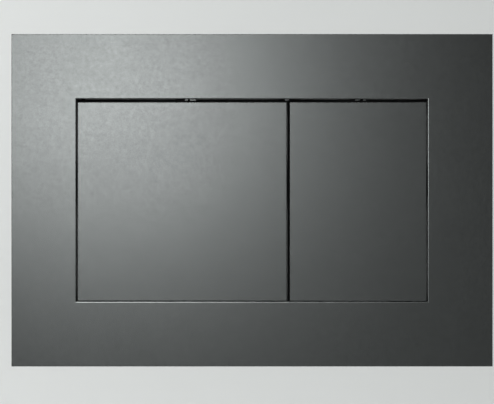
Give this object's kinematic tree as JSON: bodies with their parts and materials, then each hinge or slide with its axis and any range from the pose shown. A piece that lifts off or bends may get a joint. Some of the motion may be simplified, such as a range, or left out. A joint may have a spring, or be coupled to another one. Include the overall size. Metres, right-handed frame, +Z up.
{
  "type": "flush button plate",
  "caption": "Rectangular flush actuator plate with hinged full and half flush buttons in a flat cover, on a wall frame with push rods and fixing bolts.",
  "frame": {"origin": "middle of the plate on the plane of the finished wall, which is the back of the mounting frame's flange", "axes": "+X to the right as the plate is seen from the room, +Y into the wall, +Z up"},
  "size_m": [0.22, 0.089, 0.152],
  "materials": {
    "dark_lacquer": "satin dark metallic lacquer on moulded plastic",
    "black_plastic": "fine-grained moulded plastic",
    "grey_plastic": "fine-grained moulded plastic",
    "white_plastic": "smooth moulded plastic",
    "bumper_rubber": "matt",
    "spring_steel": "rolled strip",
    "zinc_steel": "bright zinc plate"
  },
  "bodies": {
    "plate": {"bearing_frame": "black_plastic", "cover_plate": "dark_lacquer", "fixing_bolt_left": "zinc_steel", "fixing_bolt_right": "zinc_steel", "fixing_washer_left": "zinc_steel", "fixing_washer_right": "zinc_steel", "frame_screw_1": "zinc_steel", "frame_screw_2": "zinc_steel", "frame_screw_3": "zinc_steel", "frame_screw_4": "zinc_steel", "full_hinge_pin": "zinc_steel", "full_return_spring": "spring_steel", "full_stop_bumper": "bumper_rubber", "half_hinge_pin": "zinc_steel", "half_return_spring": "spring_steel", "half_stop_bumper": "bumper_rubber", "mounting_frame": "grey_plastic"},
    "full_button": {"full_flush_button": "dark_lacquer"},
    "full_rod": {"full_push_rod": "white_plastic", "full_rod_cap": "white_plastic"},
    "half_button": {"half_flush_button": "dark_lacquer"},
    "half_rod": {"half_push_rod": "white_plastic", "half_rod_cap": "white_plastic"}
  },
  "joints": [
    {"name": "full_button_hinge", "type": "hinge", "parent": "plate", "child": "full_button", "pos_m": [-0.0319, 0.005, -0.0429], "axis": [-1, 0, 0], "range_deg": [0, 7], "stiffness_Nm_per_rad": 3, "springref_deg": -5.73, "deforming": ["full_return_spring"]},
    {"name": "full_rod_slide", "type": "slide", "parent": "plate", "child": "full_rod", "axis": [0, 1, 0], "range_m": [0, 0.0066]},
    {"name": "half_button_hinge", "type": "hinge", "parent": "plate", "child": "half_button", "pos_m": [0.0485, 0.005, -0.0429], "axis": [-1, 0, 0], "range_deg": [0, 7], "stiffness_Nm_per_rad": 3, "springref_deg": -5.73, "deforming": ["half_return_spring"]},
    {"name": "half_rod_slide", "type": "slide", "parent": "plate", "child": "half_rod", "axis": [0, 1, 0], "range_m": [0, 0.0066]}
  ],
  "couplings": [
    {"joint": "full_rod_slide", "follows": "full_button_hinge", "m_per_rad": 0.053544},
    {"joint": "half_rod_slide", "follows": "half_button_hinge", "m_per_rad": 0.053544}
  ]
}
